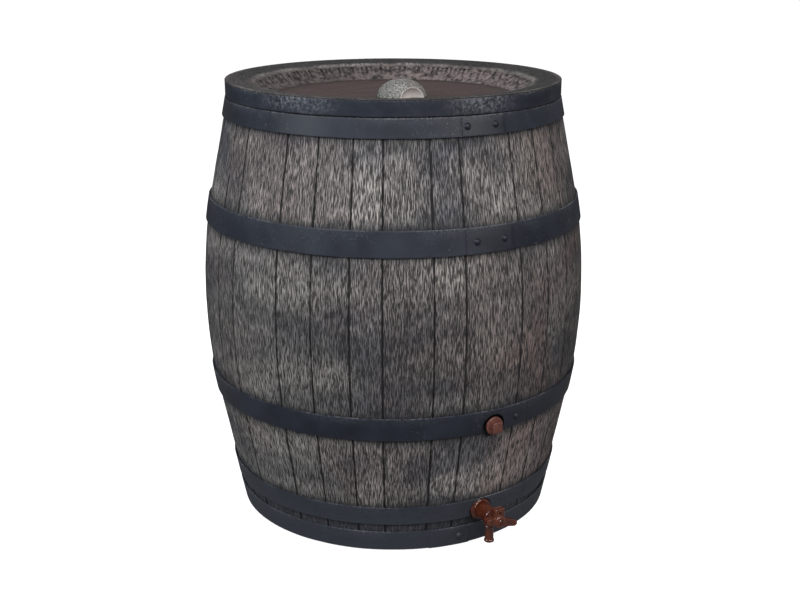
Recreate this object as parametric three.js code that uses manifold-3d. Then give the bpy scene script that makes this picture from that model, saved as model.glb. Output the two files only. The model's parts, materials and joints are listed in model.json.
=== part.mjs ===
// A 240 litre rain barrel in the shape of an old cask: one moulded shell with stave
// joints pressed into its wall, five hoops round it, a lift-off lid with a grip knob,
// a quarter-turn tap at the foot and a screw plug above it.
// Millimetres, +Z up. The origin is on the ground at the centre of the base, and the
// tap and the plug face -Y. "Outward" distances are measured from the barrel's axis
// towards -Y, and azimuths from -Y towards +X, in degrees.

import * as THREE from "three";
import { mergeVertices } from "three/addons/utils/BufferGeometryUtils.js";
import Module from "manifold-3d";

const wasm = await Module();
wasm.setup();

// ---------------------------------------------------------------- driving dimensions

const GAP = 0.3; // clearance between pieces that touch

const BELLY_RADIUS = 356;
const BELLY_HEIGHT = 415;
const SIDE_ARC_RADIUS = 976; // curve of the staves about the belly
const SIDE_ARC_HALF = 195; // beyond this distance from the belly the side is a straight cone
const WALL = 5;

const NECK_HEIGHT = 798; // top of the mouth, where the lid rests
const SHOULDER_HEIGHT = 776;
const NECK_OUTER = 298.9;
const NECK_INNER = 293;

// One run of stave widths in degrees, used five times round the barrel.
const STAVE_WIDTHS = [11, 11, 9, 14, 9, 18];
const STAVE_RUNS = 5;
const FIRST_JOINT = -64;
const JOINT_HALF_WIDTH = 1.5;
const JOINT_DEPTH = 2;

const HOOP_THICKNESS = 2;
const HOOP_SEAT_GAP = 1.1; // keeps the round hoop clear of the faceted shell
// The lower and the upper edge of each hoop.
const HOOPS = {
  base_hoop: [3, 42],
  foot_hoop: [57.5, 94],
  lower_bilge_hoop: [231.5, 275],
  upper_bilge_hoop: [554.5, 598.5],
  head_hoop: [742.5, 775],
};
// The azimuth and the height of each hoop's rivets.
const RIVETS = {
  head_hoop: [[-7.2, 759], [2.7, 759]],
  upper_bilge_hoop: [[-6.7, 575], [2.1, 575]],
  lower_bilge_hoop: [[8.1, 250]],
  base_hoop: [[-7.1, 22]],
};
const RIVET_HEAD = 5.4; // radius
const RIVET_RISE = 3.4;
const RIVET_SHANK = 1.7;

const LID_OUTER = 305;
const LID_TOP = 806;
const LID_SKIRT_OUTER = 302.4;
const LID_SKIRT_INNER = 299.5;
const LID_LIP_HEIGHT = 803.3;
const LID_HEM = SHOULDER_HEIGHT + 0.6;
const DISH_EDGE = 258;
const DISH_EDGE_HEIGHT = 800.8;
const DISH_FLOOR_RADIUS = 225;
const DISH_FLOOR = 771;
const LID_WALL = 4.5;

const KNOB_OUTWARD = 31; // the knob stands off the lid's centre, on the tap's side
const KNOB_RADIUS = 45;
const KNOB_RISE = 33;
const KNOB_STUD = 4;

const TAP_HEIGHT = 70.5;
const TAP_PAD = 305; // outward distance of the flat that the tap seals on
const PLUG_HEIGHT = 243.5;
const PLUG_PAD = 338.5;
const BOSS_RADIUS = 21;
const BOSS_DEPTH = 11;
const RECESS_RADIUS = 21.4;
const THREAD_RADIUS = 13; // 3/4 inch pipe thread
const INSERT_RADIUS = 16;
const INSERT_COLLAR = 20;
const SEAL_THICKNESS = 1.7;

const FLANGE_RADIUS = 20.5;
const HOUSING_RADIUS = 15.5;
const HOUSING_END = 350;
const CHAMBER_RADIUS = 9.5;
const INLET_RADIUS = 8;
const SPOUT_OUTWARD = 338.5;
const SPOUT_RADIUS = 7.8;
const SPOUT_BORE = 5.5;
const SPOUT_END = 20;
const HANDLE_BACK = 358;
const HANDLE_FRONT = 371;
const HUB_RADIUS = 10.5;
const STEM_RADIUS = 5;
const STEM_SQUARE = 7;

const PLUG_COLLAR = 8.5; // thickness of the plug's round collar
const PLUG_HEAD_DEPTH = 11.5;

const ROUND = 48; // sides of a hoop or of the shell's inside
const LID_ROUND = 60; // sides of the lid, whose skirt fits the neck closely
const FINE = 20; // sides of a small turned piece

// ---------------------------------------------------------------- solids

const rad = THREE.MathUtils.degToRad;

// Makes any closed geometry one welded surface that faces outwards.
function welded(geometry) {
  const bare = geometry.clone();
  bare.deleteAttribute("normal");
  bare.deleteAttribute("uv");
  const merged = mergeVertices(bare, 1e-4);
  const from = merged.index.array;
  const kept = [];
  for (let i = 0; i < from.length; i += 3) {
    const [a, b, c] = [from[i], from[i + 1], from[i + 2]];
    if (a !== b && b !== c && c !== a) kept.push(a, b, c);
  }
  const position = merged.getAttribute("position");
  if (signedVolume(position, kept) < 0) kept.reverse();
  const solid = new THREE.BufferGeometry();
  solid.setAttribute("position", position);
  solid.setIndex(kept);
  return solid;
}

function signedVolume(position, index) {
  const [a, b, c] = [new THREE.Vector3(), new THREE.Vector3(), new THREE.Vector3()];
  let sum = 0;
  for (let i = 0; i < index.length; i += 3) {
    a.fromBufferAttribute(position, index[i]);
    b.fromBufferAttribute(position, index[i + 1]);
    c.fromBufferAttribute(position, index[i + 2]);
    sum += a.dot(b.cross(c));
  }
  return sum / 6;
}

function toManifold(geometry) {
  const solid = welded(geometry);
  const vertProperties = new Float32Array(solid.getAttribute("position").array);
  const triVerts = new Uint32Array(solid.index.array);
  return new wasm.Manifold(new wasm.Mesh({ numProp: 3, vertProperties, triVerts }));
}

function fromManifold(manifold) {
  const mesh = manifold.getMesh();
  const geometry = new THREE.BufferGeometry();
  geometry.setAttribute("position", new THREE.BufferAttribute(new Float32Array(mesh.vertProperties), 3));
  geometry.setIndex(Array.from(mesh.triVerts));
  return geometry;
}

function join(first, ...others) {
  return fromManifold(others.reduce((sum, other) => sum.add(toManifold(other)), toManifold(first)));
}

function cut(first, ...tools) {
  return fromManifold(tools.reduce((rest, tool) => rest.subtract(toManifold(tool)), toManifold(first)));
}

// Turned about the barrel's axis. The profile is [radius, height] and closes on itself
// or on the axis.
function turned(profile, sides = ROUND) {
  const points = profile.map(([radius, height]) => new THREE.Vector2(radius, height));
  if (profile[0][0] > 0) points.push(points[0].clone());
  return new THREE.LatheGeometry(points, sides).rotateX(Math.PI / 2);
}

// Turned about a line that points straight out of the barrel at the given height.
// The profile is [radius, outward distance].
function spindle(profile, height, sides = FINE) {
  return turned(profile, sides).rotateX(Math.PI / 2).translate(0, 0, height);
}

function rod(radius, from, to, height, sides = FINE) {
  return spindle([[0, from], [radius, from], [radius, to], [0, to]], height, sides);
}

function washer(inner, outer, from, to, height) {
  return spindle([[inner, from], [outer, from], [outer, to], [inner, to]], height);
}

function block(width, depth, height, x, y, z) {
  return new THREE.BoxGeometry(width, depth, height).translate(x, y, z);
}

// ---------------------------------------------------------------- the barrel's side

const CONE_SLOPE = SIDE_ARC_HALF / Math.sqrt(SIDE_ARC_RADIUS ** 2 - SIDE_ARC_HALF ** 2);

function sideRadius(height) {
  const away = Math.abs(height - BELLY_HEIGHT);
  const curved = Math.min(away, SIDE_ARC_HALF);
  const arc = SIDE_ARC_RADIUS - Math.sqrt(SIDE_ARC_RADIUS ** 2 - curved ** 2);
  return BELLY_RADIUS - arc - (away - curved) * CONE_SLOPE;
}

// Every column of the shell's surface: its azimuth, and whether it is a joint's bottom.
function shellColumns() {
  const columns = [];
  const half = THREE.MathUtils.radToDeg(JOINT_HALF_WIDTH / BELLY_RADIUS);
  let azimuth = FIRST_JOINT;
  for (let run = 0; run < STAVE_RUNS; run += 1) {
    for (const width of STAVE_WIDTHS) {
      columns.push({ azimuth: azimuth - half, deep: 0 });
      columns.push({ azimuth, deep: 1 });
      columns.push({ azimuth: azimuth + half, deep: 0 });
      if (width > 11) columns.push({ azimuth: azimuth + width / 2, deep: 0 });
      azimuth += width;
    }
  }
  return columns;
}

// The shell's outer section, from the centre of the underside up to the top of the
// mouth. Each entry is [radius, height, 1 where the joints are cut].
function outerSection() {
  const heights = [14, 94, 162, 231.5, 275, 345, 415, 485, 554.5, 598.5, 742.5];
  return [
    [0, 0, 0],
    [283, 0, 0],
    [sideRadius(5) - 1.5, 5, 0],
    ...heights.map((height) => [sideRadius(height), height, 1]),
    [sideRadius(SHOULDER_HEIGHT), SHOULDER_HEIGHT, 0],
    [NECK_OUTER, SHOULDER_HEIGHT, 0],
    [NECK_OUTER, NECK_HEIGHT, 0],
    [0, NECK_HEIGHT, 0],
  ];
}

// The room for the water, open at the top.
function hollow() {
  const heights = [30, 162, 275, 345, 415, 485, 554.5, 742.5];
  return turned([
    [0, 6],
    [278, 8],
    ...heights.map((height) => [sideRadius(height) - WALL, height]),
    [NECK_INNER, SHOULDER_HEIGHT - 8],
    [NECK_INNER, NECK_HEIGHT + 10],
    [0, NECK_HEIGHT + 10],
  ]);
}

function gridSurface(section, columns) {
  const positions = [];
  for (const [radius, height, jointed] of section) {
    for (const { azimuth, deep } of columns) {
      const reach = Math.max(radius - jointed * deep * JOINT_DEPTH, 0);
      const angle = rad(azimuth);
      positions.push(reach * Math.sin(angle), -reach * Math.cos(angle), height);
    }
  }
  const index = [];
  for (let row = 0; row < section.length - 1; row += 1) {
    for (let column = 0; column < columns.length; column += 1) {
      const next = (column + 1) % columns.length;
      const [a, b] = [row * columns.length + column, row * columns.length + next];
      const [c, d] = [a + columns.length, b + columns.length];
      index.push(a, b, d, a, d, c);
    }
  }
  const geometry = new THREE.BufferGeometry();
  geometry.setAttribute("position", new THREE.Float32BufferAttribute(positions, 3));
  geometry.setIndex(index);
  return geometry;
}

// A thick flat boss on the wall, its face sunk into the sloping side, drilled for an insert.
function withBoss(shell, pad, height) {
  const boss = rod(BOSS_RADIUS, pad - BOSS_DEPTH, pad, height);
  const recess = rod(RECESS_RADIUS, pad - 0.01, pad + 30, height);
  const hole = rod(INSERT_RADIUS + GAP, pad - 60, pad + 10, height);
  return cut(join(shell, boss), recess, hole);
}

function barrelShell() {
  const shell = cut(gridSurface(outerSection(), shellColumns()), hollow());
  return withBoss(withBoss(shell, TAP_PAD, TAP_HEIGHT), PLUG_PAD, PLUG_HEIGHT);
}

// ---------------------------------------------------------------- hoops and rivets

function hoop(name) {
  const [low, high] = HOOPS[name];
  const inner = (height) => sideRadius(height) + HOOP_SEAT_GAP;
  const band = turned([
    [inner(low), low],
    [inner(low) + HOOP_THICKNESS, low],
    [inner(high) + HOOP_THICKNESS, high],
    [inner(high), high],
  ]);
  const holes = (RIVETS[name] ?? []).map(([azimuth, height]) => {
    return onSide(rivetBody(RIVET_SHANK + GAP, RIVET_SHANK + GAP, 4), azimuth, height);
  });
  if (name === "foot_hoop") holes.push(rod(RECESS_RADIUS, TAP_PAD - 20, TAP_PAD + 30, TAP_HEIGHT));
  if (name === "lower_bilge_hoop") {
    holes.push(rod(RECESS_RADIUS, PLUG_PAD - 20, PLUG_PAD + 30, PLUG_HEIGHT));
  }
  return holes.length ? cut(band, ...holes) : band;
}

// A shank along +Z up to the hoop's outer face at zero, with a domed head above it.
function rivetBody(shank, head, rise) {
  const seat = head > shank ? GAP : 0;
  const dome = [0, 30, 60].map((angle) => {
    return [head * Math.cos(rad(angle)), seat + rise * Math.sin(rad(angle))];
  });
  const bottom = -HOOP_THICKNESS - (head > shank ? 0 : 1);
  return turned([[0, bottom], [shank, bottom], [shank, seat], ...dome, [0, seat + rise]], 10);
}

// Stands a piece on a hoop's outer face, along that face's normal.
function onSide(geometry, azimuth, height) {
  const slope = (sideRadius(height + 1) - sideRadius(height - 1)) / 2;
  const reach = sideRadius(height) + HOOP_SEAT_GAP + HOOP_THICKNESS;
  const direction = [Math.sin(rad(azimuth)), -Math.cos(rad(azimuth))];
  const normal = new THREE.Vector3(direction[0], direction[1], -slope).normalize();
  const turn = new THREE.Quaternion().setFromUnitVectors(new THREE.Vector3(0, 0, 1), normal);
  return geometry.clone().applyQuaternion(turn)
    .translate(direction[0] * reach, direction[1] * reach, height);
}

function rivet(azimuth, height) {
  return onSide(rivetBody(RIVET_SHANK, RIVET_HEAD, RIVET_RISE), azimuth, height);
}

// ---------------------------------------------------------------- lid

function lidShell() {
  const floorUnder = DISH_FLOOR - LID_WALL;
  const body = turned([
    [0, DISH_FLOOR],
    [DISH_FLOOR_RADIUS - 4, DISH_FLOOR],
    [DISH_FLOOR_RADIUS, DISH_FLOOR + 2.5],
    [DISH_EDGE - 3, DISH_EDGE_HEIGHT - 2],
    [DISH_EDGE, DISH_EDGE_HEIGHT],
    [LID_OUTER - 2, LID_TOP],
    [LID_OUTER, LID_TOP - 1.5],
    [LID_OUTER, LID_LIP_HEIGHT],
    [LID_SKIRT_OUTER, LID_LIP_HEIGHT],
    [LID_SKIRT_OUTER, LID_HEM],
    [LID_SKIRT_INNER, LID_HEM],
    [LID_SKIRT_INNER, NECK_HEIGHT + GAP],
    [NECK_INNER - 3, NECK_HEIGHT + GAP],
    [DISH_EDGE + 4, DISH_EDGE_HEIGHT - LID_WALL],
    [DISH_FLOOR_RADIUS + 5, floorUnder + 2],
    [DISH_FLOOR_RADIUS, floorUnder],
    [0, floorUnder],
  ], LID_ROUND);
  const studHole = turned([
    [0, floorUnder - 10],
    [KNOB_STUD + GAP, floorUnder - 10],
    [KNOB_STUD + GAP, DISH_FLOOR + 10],
    [0, DISH_FLOOR + 10],
  ], FINE);
  return cut(body, studHole.translate(0, -KNOB_OUTWARD, 0));
}

function lidHoop() {
  const inner = LID_SKIRT_OUTER + GAP;
  const top = LID_LIP_HEIGHT - GAP;
  return turned([
    [inner, LID_HEM],
    [LID_OUTER, LID_HEM],
    [LID_OUTER, top],
    [inner, top],
  ], LID_ROUND);
}

// A low dome with a finger scoop at the front and back, which leave a bar to pinch,
// and a stud below that goes through the lid.
function lidKnob() {
  const base = DISH_FLOOR + GAP;
  const dome = [0, 18, 36, 54, 72].map((angle) => {
    return [KNOB_RADIUS * Math.cos(rad(angle)), base + KNOB_RISE * Math.sin(rad(angle))];
  });
  const body = turned([
    [0, DISH_FLOOR - LID_WALL - 14],
    [KNOB_STUD, DISH_FLOOR - LID_WALL - 14],
    [KNOB_STUD, base],
    ...dome,
    [0, base + KNOB_RISE],
  ], 28);
  const scoops = [-1, 1].map((side) => {
    return new THREE.SphereGeometry(20, 14, 8).scale(1.25, 1, 1)
      .translate(0, side * (KNOB_RADIUS + 1), base + 4);
  });
  return cut(body, ...scoops).translate(0, -KNOB_OUTWARD, 0);
}

function knobWasher() {
  const top = DISH_FLOOR - LID_WALL - GAP;
  const inner = KNOB_STUD + GAP;
  return turned([[inner, top - 1.6], [11, top - 1.6], [11, top], [inner, top]], FINE)
    .translate(0, -KNOB_OUTWARD, 0);
}

function knobNut() {
  const top = DISH_FLOOR - LID_WALL - 2 * GAP - 1.6;
  const inner = KNOB_STUD + GAP;
  const hexagon = turned([[0, top - 7], [7.5, top - 7], [7.5, top], [0, top]], 6);
  const bore = turned([[0, top - 20], [inner, top - 20], [inner, top + 5], [0, top + 5]], 16);
  return cut(hexagon, bore).translate(0, -KNOB_OUTWARD, 0);
}

// ---------------------------------------------------------------- tap and plug

// A threaded bush set in a boss, with a collar on the inside.
function insert(pad, height) {
  const bore = THREAD_RADIUS + GAP;
  const back = pad - BOSS_DEPTH - GAP;
  return spindle([
    [bore, back - 3],
    [INSERT_COLLAR, back - 3],
    [INSERT_COLLAR, back],
    [INSERT_RADIUS, back],
    [INSERT_RADIUS, pad - GAP],
    [bore, pad - GAP],
  ], height);
}

function seal(pad, height, outer) {
  return washer(THREAD_RADIUS + GAP, outer, pad + GAP, pad + SEAL_THICKNESS, height);
}

function spoutPiece(profile) {
  return turned(profile, 20).translate(0, -SPOUT_OUTWARD, 0);
}

function tapBody() {
  const flange = TAP_PAD + SEAL_THICKNESS + GAP;
  const body = spindle([
    [0, TAP_PAD - 18],
    [THREAD_RADIUS - 1, TAP_PAD - 18],
    [THREAD_RADIUS, TAP_PAD - 16],
    [THREAD_RADIUS, flange],
    [FLANGE_RADIUS, flange],
    [FLANGE_RADIUS, flange + 3],
    [FLANGE_RADIUS - 1, flange + 4],
    [HOUSING_RADIUS, flange + 5],
    [HOUSING_RADIUS, HOUSING_END - 2],
    [HOUSING_RADIUS - 1.5, HOUSING_END],
    [0, HOUSING_END],
  ], TAP_HEIGHT);
  const spout = spoutPiece([
    [0, SPOUT_END],
    [SPOUT_RADIUS + 1.2, SPOUT_END],
    [SPOUT_RADIUS + 1.4, SPOUT_END + 3],
    [SPOUT_RADIUS, SPOUT_END + 5],
    [SPOUT_RADIUS, 49],
    [SPOUT_RADIUS + 1.6, 50],
    [SPOUT_RADIUS + 1.6, 53],
    [SPOUT_RADIUS + 0.4, 54],
    [SPOUT_RADIUS + 0.4, TAP_HEIGHT - 4],
    [0, TAP_HEIGHT - 4],
  ]);
  const chamber = rod(CHAMBER_RADIUS, TAP_PAD + 11, HOUSING_END + 5, TAP_HEIGHT);
  const inlet = rod(INLET_RADIUS, TAP_PAD - 30, TAP_PAD + 15, TAP_HEIGHT);
  const spoutBore = spoutPiece([
    [0, SPOUT_END - 5],
    [SPOUT_BORE, SPOUT_END - 5],
    [SPOUT_BORE, TAP_HEIGHT],
    [0, TAP_HEIGHT],
  ]);
  return cut(join(body, spout), chamber, inlet, spoutBore);
}

const ROTOR_BACK = TAP_PAD + 11 + GAP;
const ROTOR_FRONT = HOUSING_END - 4.5;
const RING_GROOVES = [TAP_PAD + 16, TAP_PAD + 22];

// A hollow plug valve: water enters its open back and leaves by the port in its side.
// The port faces +X while the tap is shut and the spout when it is open.
function tapRotor() {
  const radius = CHAMBER_RADIUS - GAP;
  const grooves = RING_GROOVES.flatMap((at) => [
    [radius, at - 1.2],
    [radius - 1.6, at - 1.2],
    [radius - 1.6, at + 1.2],
    [radius, at + 1.2],
  ]);
  const body = spindle([
    [0, ROTOR_BACK],
    [radius, ROTOR_BACK],
    ...grooves,
    [radius, ROTOR_FRONT],
    [STEM_RADIUS, ROTOR_FRONT],
    [STEM_RADIUS, HOUSING_END + 6],
    [0, HOUSING_END + 6],
  ], TAP_HEIGHT);
  const drive = block(STEM_SQUARE, 12, STEM_SQUARE, 0, -(HOUSING_END + 11), TAP_HEIGHT);
  const hollow = rod(5.8, ROTOR_BACK - 5, ROTOR_FRONT - 3, TAP_HEIGHT);
  const port = new THREE.CylinderGeometry(4.5, 4.5, 20, 14).rotateZ(Math.PI / 2)
    .translate(10, -SPOUT_OUTWARD, TAP_HEIGHT);
  const screwHole = rod(2.1, HOUSING_END + 5, HOUSING_END + 20, TAP_HEIGHT, 12);
  return cut(join(body, drive), hollow, port, screwHole);
}

function rotorRing(at) {
  const outer = CHAMBER_RADIUS - GAP + 0.15;
  const inner = CHAMBER_RADIUS - GAP - 1.3;
  return washer(inner, outer, at - 0.9, at + 0.9, TAP_HEIGHT);
}

// Closes the front of the chamber round the rotor's stem.
function tapBonnet() {
  const bore = STEM_RADIUS + GAP;
  return spindle([
    [bore, ROTOR_FRONT + GAP],
    [CHAMBER_RADIUS - GAP, ROTOR_FRONT + GAP],
    [CHAMBER_RADIUS - GAP, HOUSING_END + GAP],
    [HOUSING_RADIUS - 2, HOUSING_END + GAP],
    [HOUSING_RADIUS - 2, HOUSING_END + 4],
    [HOUSING_RADIUS - 4, HOUSING_END + 5],
    [bore, HOUSING_END + 5],
  ], TAP_HEIGHT);
}

// A flat outline in the handle's plane, [x, z] from the tap's axis, made solid.
function handlePlate(shape) {
  return new THREE.ExtrudeGeometry(shape, {
    depth: HANDLE_FRONT - HANDLE_BACK - 3,
    bevelThickness: 1.5,
    bevelSize: 1.5,
    bevelOffset: -1.5,
    bevelSegments: 1,
    curveSegments: 5,
  }).rotateX(Math.PI / 2).translate(0, 1.5 - HANDLE_BACK - 3, TAP_HEIGHT);
}

// A tapered arm with round ends, from the hub out to a point in the handle's plane.
function arm(endX, endZ, rootRadius, endRadius) {
  const heading = Math.atan2(endZ, endX);
  const spread = Math.acos((rootRadius - endRadius) / Math.hypot(endX, endZ));
  const shape = new THREE.Shape();
  shape.absarc(0, 0, rootRadius, heading + spread, heading - spread + 2 * Math.PI, false);
  shape.absarc(endX, endZ, endRadius, heading - spread, heading + spread, false);
  shape.closePath();
  return handlePlate(shape);
}

function lug() {
  const [half, low, high, corner] = [10.5, 2, 25, 3];
  const shape = new THREE.Shape();
  shape.moveTo(-half, low);
  shape.lineTo(half, low);
  shape.lineTo(half, high - corner);
  shape.absarc(half - corner, high - corner, corner, 0, Math.PI / 2, false);
  shape.lineTo(corner - half, high);
  shape.absarc(corner - half, high - corner, corner, Math.PI / 2, Math.PI, false);
  shape.closePath();
  return handlePlate(shape);
}

function tapHandle() {
  const hub = rod(HUB_RADIUS, HANDLE_BACK - 2, HANDLE_FRONT + 2, TAP_HEIGHT);
  const solid = join(hub, arm(32, -10, 9, 5.5), arm(-20.5, 3.5, 9, 5.5), lug());
  const socketSize = STEM_SQUARE + 2 * GAP;
  const socketDepth = 12;
  const socketCentre = -(HOUSING_END + 17.5 - socketDepth / 2);
  const socket = block(socketSize, socketDepth, socketSize, 0, socketCentre, TAP_HEIGHT);
  const screwHole = rod(2.1, HANDLE_BACK, HANDLE_FRONT + 5, TAP_HEIGHT, 12);
  const screwSeat = rod(5, HANDLE_FRONT, HANDLE_FRONT + 5, TAP_HEIGHT);
  const eye = rod(2.2, HANDLE_BACK - 5, HANDLE_FRONT + 5, TAP_HEIGHT + 17, 12);
  return cut(solid, socket, screwHole, screwSeat, eye);
}

function handleScrew() {
  const seat = HANDLE_FRONT + GAP;
  return spindle([
    [0, HOUSING_END + 7],
    [1.8, HOUSING_END + 7],
    [1.8, seat],
    [4.4, seat],
    [4.4, seat + 1.4],
    [3, seat + 2.2],
    [0, seat + 2.2],
  ], TAP_HEIGHT, 14);
}

function plug() {
  const flange = PLUG_PAD + SEAL_THICKNESS + GAP;
  const collar = flange + PLUG_COLLAR;
  const body = spindle([
    [0, PLUG_PAD - 11],
    [THREAD_RADIUS - 1.5, PLUG_PAD - 11],
    [THREAD_RADIUS, PLUG_PAD - 9.5],
    [THREAD_RADIUS, flange],
    [16.5, flange],
    [16.5, collar - 1],
    [15.5, collar],
    [0, collar],
  ], PLUG_HEIGHT);
  const headCentre = -(collar + PLUG_HEAD_DEPTH / 2 - 1);
  const head = new THREE.CylinderGeometry(14.1, 13.4, PLUG_HEAD_DEPTH, 4, 1, false, Math.PI / 4)
    .translate(0, headCentre, PLUG_HEIGHT);
  const hollow = rod(9, PLUG_PAD - 20, PLUG_PAD - 2, PLUG_HEIGHT);
  return cut(join(body, head), hollow);
}

// ---------------------------------------------------------------- the assembly

const FINISHES = {
  weathered_staves: { color: 0x4f4843, roughness: 0.75, metalness: 0 },
  dark_hoop: { color: 0x2a2d36, roughness: 0.5, metalness: 0 },
  rivet: { color: 0x23262e, roughness: 0.45, metalness: 0 },
  lid: { color: 0x53433e, roughness: 0.75, metalness: 0 },
  knob: { color: 0x8f8d89, roughness: 0.7, metalness: 0 },
  tap_plastic: { color: 0x6a2114, roughness: 0.3, metalness: 0 },
  plug_plastic: { color: 0x7c3c2c, roughness: 0.5, metalness: 0 },
  brass: { color: 0xb08d4f, roughness: 0.35, metalness: 1 },
  rubber: { color: 0x1b1b1c, roughness: 0.8, metalness: 0 },
  steel: { color: 0x9a9c9f, roughness: 0.3, metalness: 1 },
};

function piece(name, geometry, finish) {
  const mesh = new THREE.Mesh(welded(geometry), new THREE.MeshStandardMaterial(FINISHES[finish]));
  mesh.name = name;
  return mesh;
}

function assembly(...pieces) {
  const group = new THREE.Group();
  group.add(...pieces);
  return group;
}

const cask = assembly(
  piece("barrel_shell", barrelShell(), "weathered_staves"),
  ...Object.keys(HOOPS).map((name) => piece(name, hoop(name), "dark_hoop")),
  ...Object.entries(RIVETS).flatMap(([name, places]) => places.map((place, i) => {
    return piece(`${name}_rivet_${i + 1}`, rivet(...place), "rivet");
  })),
  piece("tap_insert", insert(TAP_PAD, TAP_HEIGHT), "brass"),
  piece("plug_insert", insert(PLUG_PAD, PLUG_HEIGHT), "brass"),
);

const tap = assembly(
  piece("tap_seal", seal(TAP_PAD, TAP_HEIGHT, 19), "rubber"),
  piece("tap_body", tapBody(), "tap_plastic"),
  piece("tap_bonnet", tapBonnet(), "tap_plastic"),
  piece("tap_rotor", tapRotor(), "tap_plastic"),
  piece("rotor_back_ring", rotorRing(RING_GROOVES[0]), "rubber"),
  piece("rotor_front_ring", rotorRing(RING_GROOVES[1]), "rubber"),
  piece("tap_handle", tapHandle(), "tap_plastic"),
  piece("handle_screw", handleScrew(), "steel"),
);

const screwPlug = assembly(
  piece("plug_washer", seal(PLUG_PAD, PLUG_HEIGHT, 16), "rubber"),
  piece("plug", plug(), "plug_plastic"),
);

const lid = assembly(
  piece("lid_shell", lidShell(), "lid"),
  piece("lid_hoop", lidHoop(), "dark_hoop"),
  piece("lid_knob", lidKnob(), "knob"),
  piece("knob_washer", knobWasher(), "steel"),
  piece("knob_nut", knobNut(), "steel"),
);

export default assembly(cask, tap, screwPlug, lid);
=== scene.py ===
# %% [markdown]
# # A cask-shaped rain barrel
# The real barrel is one hollow shell of moulded plastic, made to look like an old
# oak cask: stave joints and wood grain are pressed into its wall, dark hoops run
# round it, and a dished lid with a pale knob drops over its mouth. A tap and a screw
# plug sit one above the other. This file loads the measured frame, models each
# visible piece again with finer detail, and gives every piece a finish made of nodes.

# %% Load the frame
import json
import math
import random
from contextlib import contextmanager

import bpy
import numpy as np
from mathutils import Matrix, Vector


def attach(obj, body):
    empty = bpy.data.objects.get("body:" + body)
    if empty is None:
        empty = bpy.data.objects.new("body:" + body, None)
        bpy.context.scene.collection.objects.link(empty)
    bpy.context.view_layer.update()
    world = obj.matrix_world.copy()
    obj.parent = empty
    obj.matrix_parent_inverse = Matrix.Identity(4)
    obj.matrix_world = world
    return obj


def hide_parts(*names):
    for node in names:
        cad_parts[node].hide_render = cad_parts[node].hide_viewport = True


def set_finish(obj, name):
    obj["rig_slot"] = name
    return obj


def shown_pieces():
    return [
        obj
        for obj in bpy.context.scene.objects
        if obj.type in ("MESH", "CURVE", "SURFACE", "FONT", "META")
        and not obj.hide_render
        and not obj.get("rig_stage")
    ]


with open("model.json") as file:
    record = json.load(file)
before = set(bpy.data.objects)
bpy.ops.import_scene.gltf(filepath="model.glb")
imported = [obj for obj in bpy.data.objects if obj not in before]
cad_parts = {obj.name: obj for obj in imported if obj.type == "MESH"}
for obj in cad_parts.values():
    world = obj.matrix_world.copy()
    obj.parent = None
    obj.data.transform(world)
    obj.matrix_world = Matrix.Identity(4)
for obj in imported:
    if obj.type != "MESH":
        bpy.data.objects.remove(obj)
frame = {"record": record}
bpy.context.view_layer.update()
MM = 0.001

# %% [markdown]
# The camera stands about two metres off, a little above the lid, and looks down at
# the barrel past its front left side, so that the tap is seen at a slant. The floor
# is a plain pale sheet and the surroundings are white. One soft lamp hangs in front,
# one on each side draws a soft highlight down the hoops, and a weak one behind lights
# the lid's far rim. Floor and surroundings look brighter than the light they give.

# %% Camera
CAMERA_DISTANCE = 2.3192  # metres from the barrel's axis
CAMERA_HEIGHT = 1.0833
CAMERA_AZIMUTH = math.radians(-30)
CAMERA_TURN = math.radians(-30.306)
CAMERA_PITCH = math.radians(16.89)
CAMERA_LENS = 56.82

camera_data = bpy.data.cameras.new("camera")
camera_data.lens = CAMERA_LENS
camera_data.sensor_width = 36
camera = bpy.data.objects.new("camera", camera_data)
bpy.context.scene.collection.objects.link(camera)
camera.location = (
    math.sin(CAMERA_AZIMUTH) * CAMERA_DISTANCE,
    -math.cos(CAMERA_AZIMUTH) * CAMERA_DISTANCE,
    CAMERA_HEIGHT,
)
camera.rotation_euler = (math.pi / 2 - CAMERA_PITCH, 0, CAMERA_TURN)
bpy.context.scene.camera = camera
print("camera at", [round(v, 3) for v in camera.location])


# %% Floor, surroundings and lamps
LAMP_AIM = Vector((0, 0, 0.42))


def deselect():
    """Leaves no object picked."""
    bpy.ops.object.select_all(action="DESELECT")


def lamp(name, place, size, watts, tint=(1, 1, 1)):
    """A square lamp, in metres and watts, that faces the middle of the barrel."""
    data = bpy.data.lights.new(name, "AREA")
    data.size = size
    data.energy = watts
    data.color = tint
    made = bpy.data.objects.new(name, data)
    bpy.context.scene.collection.objects.link(made)
    made.location = place
    made.rotation_euler = (LAMP_AIM - Vector(place)).to_track_quat("-Z", "Y").to_euler()


def split_by_camera(tree, socket, unseen, shown):
    """Gives a socket one value for the camera and another for all other light."""
    seen = tree.nodes.new("ShaderNodeLightPath").outputs["Is Camera Ray"]
    pick = tree.nodes.new("ShaderNodeMapRange")
    pick.inputs["To Min"].default_value = unseen
    pick.inputs["To Max"].default_value = shown
    tree.links.new(seen, pick.inputs["Value"])
    tree.links.new(pick.outputs[0], socket)


lamp("overhead", (-1.3, -2.3, 3.0), 1.6, 72)
lamp("left_side", (-2.9, -0.2, 1.8), 1.3, 38, (0.88, 0.95, 1.0))
lamp("right_side", (0.9, -2.9, 1.8), 1.2, 30, (1.0, 0.96, 0.93))
lamp("rim_light", (1.4, 2.4, 2.6), 1.8, 9)

world = bpy.data.worlds.new("white_surroundings")
world.use_nodes = True
sky = world.node_tree.nodes["Background"].inputs
sky["Color"].default_value = (1, 1, 1, 1)
split_by_camera(world.node_tree, sky["Strength"], unseen=0.24, shown=1.0)
bpy.context.scene.world = world
bpy.context.scene.view_settings.view_transform = "Standard"

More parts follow.
